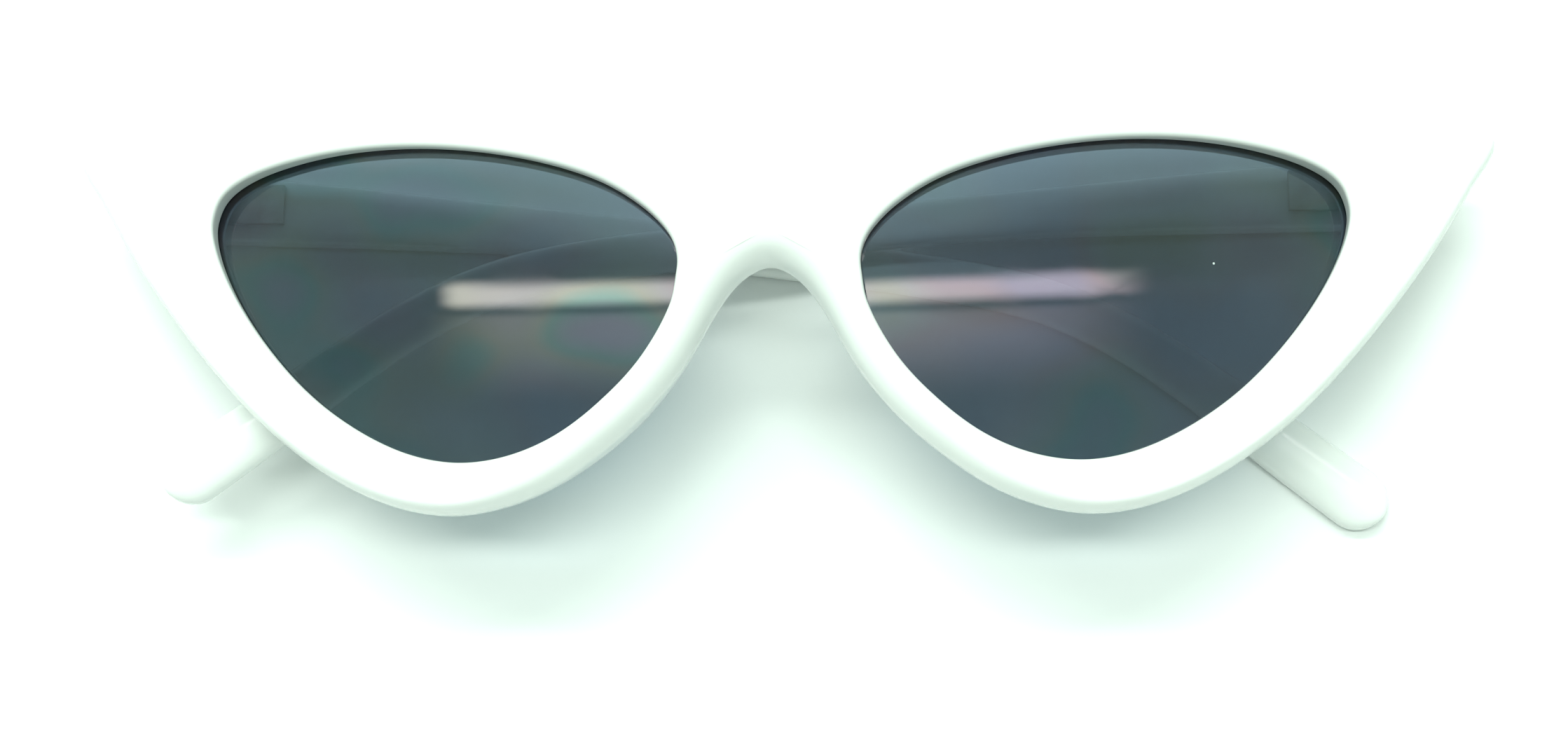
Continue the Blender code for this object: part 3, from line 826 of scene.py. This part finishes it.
def make_table():
    """A round table top whose edge sweeps up into a low wall."""

    def build(work):
        profile = [(radius, 0.0) for radius in TABLE_RADII]
        for step in range(1, WALL_STEPS + 1):
            turn = math.radians(90 * step / WALL_STEPS)
            out, up = WALL_RADIUS * math.sin(turn), WALL_RADIUS * (1 - math.cos(turn))
            profile.append((TABLE_RADII[-1] + out, up))
        angles = [2 * math.pi * i / TABLE_SIDES for i in range(TABLE_SIDES)]
        loops = [
            [Vector((radius * math.cos(a), radius * math.sin(a), height)) for a in angles]
            for radius, height in profile
        ]
        inmost = skin_loops(work, loops, wrap=False)[0]
        hub = work.verts.new((0, 0, 0))
        for i in range(TABLE_SIDES):
            work.faces.new((inmost[i - 1], inmost[i], hub))

    floor = new_piece("table_top", build)
    settle(floor)
    return floor


def lean(thing, place, tilt, turn=0.0):
    """Hangs a lamp at a place, tipped about X and turned about Z by these angles in degrees."""
    thing.location = place
    thing.rotation_euler = (math.radians(-tilt), 0, math.radians(turn))


def add_light(name, place, size, power, tilt):
    """A lamp without a reflection of its own: the glow sheet stands in for it."""
    lamp = bpy.data.lights.new(name, "AREA")
    lamp.shape = "RECTANGLE"
    lamp.size, lamp.size_y = size
    lamp.energy = power
    lamp.color = LAMP_COLOUR
    made = bpy.data.objects.new(name, lamp)
    bpy.context.scene.collection.objects.link(made)
    lean(made, place, tilt)
    made.visible_glossy = False


def lamp_glow():
    """The tube as its reflections show it: a bright soft-edged core with a fainter side.

    Places along and across the sheet are in metres from its middle.
    """
    shader = Shader("lamp_glow_look")
    shader.tree.nodes.remove(shader.main)
    axes = shader.add("ShaderNodeSeparateXYZ")
    shader.link(shader.place, axes.inputs[0])
    along, across = axes.outputs["X"], axes.outputs["Y"]
    bow = shader.maths("MULTIPLY", shader.maths("MULTIPLY", along, along), LAMP_BOW)
    across = shader.maths("SUBTRACT", across, bow)
    core = shader.remap(shader.maths("ABSOLUTE", across, 0.0), 0.01, 0.062, 1.0, 0.0)
    ends = shader.remap(along, -0.76, -0.64, 0.0, 1.0)
    ends = shader.maths("MULTIPLY", ends, shader.remap(along, 0.5, 0.8, 1.0, 0.0))
    core = shader.maths("MULTIPLY", core, shader.remap(along, -0.7, 0.7, 7.6, 6.2))
    core = shader.maths("MULTIPLY", core, ends)
    side_ends = shader.remap(along, -0.84, -0.45, 0.0, 1.0)
    side_ends = shader.maths("MULTIPLY", side_ends, shader.remap(along, 0.25, 0.84, 1.0, 0.0))
    side = shader.remap(across, -0.4, -0.1, 0.0, 1.5)
    side = shader.maths("MULTIPLY", side, shader.remap(across, -0.09, -0.05, 1.0, 0.0))
    glow = shader.maths("ADD", core, shader.maths("MULTIPLY", side, side_ends))
    light = shader.add("ShaderNodeEmission")
    light.inputs["Color"].default_value = (1.0, 0.98, 0.98, 1)
    shader.link(glow, light.inputs["Strength"])
    both = shader.add("ShaderNodeAddShader")
    shader.link(light.outputs[0], both.inputs[0])
    shader.link(shader.add("ShaderNodeBsdfTransparent").outputs[0], both.inputs[1])
    shader.link(both.outputs[0], shader.tree.nodes["Material Output"].inputs["Surface"])
    return shader.material


def set_stage():
    """A white table, the lamps, the near tube's reflection and a sky round them.

    Both tubes and the window lamp hang over the glasses and beyond the brow, and the sky is dimmer
    on the photographer's side.
    """
    floor = make_table()
    floor.data.materials.append(table_top())

    world = bpy.data.worlds.new("soft_room")
    world.use_nodes = True
    room = Shader(tree=world.node_tree)
    sky = room.main.inputs
    sky["Color"].default_value = SKY_COLOUR
    axes = room.add("ShaderNodeSeparateXYZ")
    room.link(room.add("ShaderNodeTexCoord").outputs["Generated"], axes.inputs[0])
    away = room.remap(axes.outputs["Y"], SKY_FROM, SKY_TO, SKY_NEAR, SKY_FAR)
    room.link(away, sky["Strength"])
    bpy.context.scene.world = world

    for lamp in LAMPS:
        add_light(*lamp)

    glow = flat_sheet("lamp_glow", *GLOW_SIZE)
    lean(glow, GLOW_PLACE, GLOW_TILT, GLOW_TURN)
    glow.data.materials.append(lamp_glow())
    glow.visible_diffuse = False
    glow.visible_camera = False
    glow.visible_shadow = False
    glow.visible_transmission = False


def add_camera():
    pitch, yaw, roll = (math.radians(angle) for angle in CAMERA_TURN)
    view = Matrix.Rotation(roll, 4, "Z") @ Matrix.Rotation(pitch, 4, "X")
    view = view @ Matrix.Rotation(yaw, 4, "Y")
    lens = bpy.data.cameras.new("camera")
    lens.lens = FOCAL_LENGTH
    lens.sensor_width = SENSOR_WIDTH
    lens.clip_start = 10 * MM
    camera = bpy.data.objects.new("camera", lens)
    bpy.context.scene.collection.objects.link(camera)
    camera.matrix_world = FRONT_PLACE @ Matrix.Translation(CAMERA_PLACE) @ view.transposed()
    bpy.context.scene.camera = camera


def main():
    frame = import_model()
    plastic, tint, steel = white_plastic(), smoke_lens(), hinge_steel()

    front = make_front()
    pieces = [(front, "front", "white_plastic", plastic, "front_frame")]
    for side, sign, fold, tilt in (
        ("left", 1, FOLD_LEFT, TILT_LEFT),
        ("right", -1, FOLD_RIGHT, TILT_RIGHT),
    ):
        lens = make_lens(side, sign)
        pieces.append((lens, "front", "smoke_lens", tint, f"lens_{side}"))
        temple = make_temple(side, sign, fold, tilt)
        body = f"{side}_temple"
        pieces.append((temple, body, "white_plastic", plastic, f"temple_{side}"))
    for piece, body, slot, look, node in pieces:
        piece.data.materials.clear()
        piece.data.materials.append(look)
        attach(piece, body)
        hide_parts(node)

    for name, node in frame["nodes"].items():
        if "hinge" in name:
            node.data.materials.clear()
            node.data.materials.append(steel)
            edge = node.modifiers.new("eased_edges", "BEVEL")
            edge.width = HINGE_BEVEL
            edge.segments = 2
            edge.limit_method = "ANGLE"
            edge.angle_limit = HINGE_BEVEL_ANGLE

    set_stage()
    add_camera()
    bpy.context.scene.view_settings.view_transform = "Standard"

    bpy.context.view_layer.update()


main()
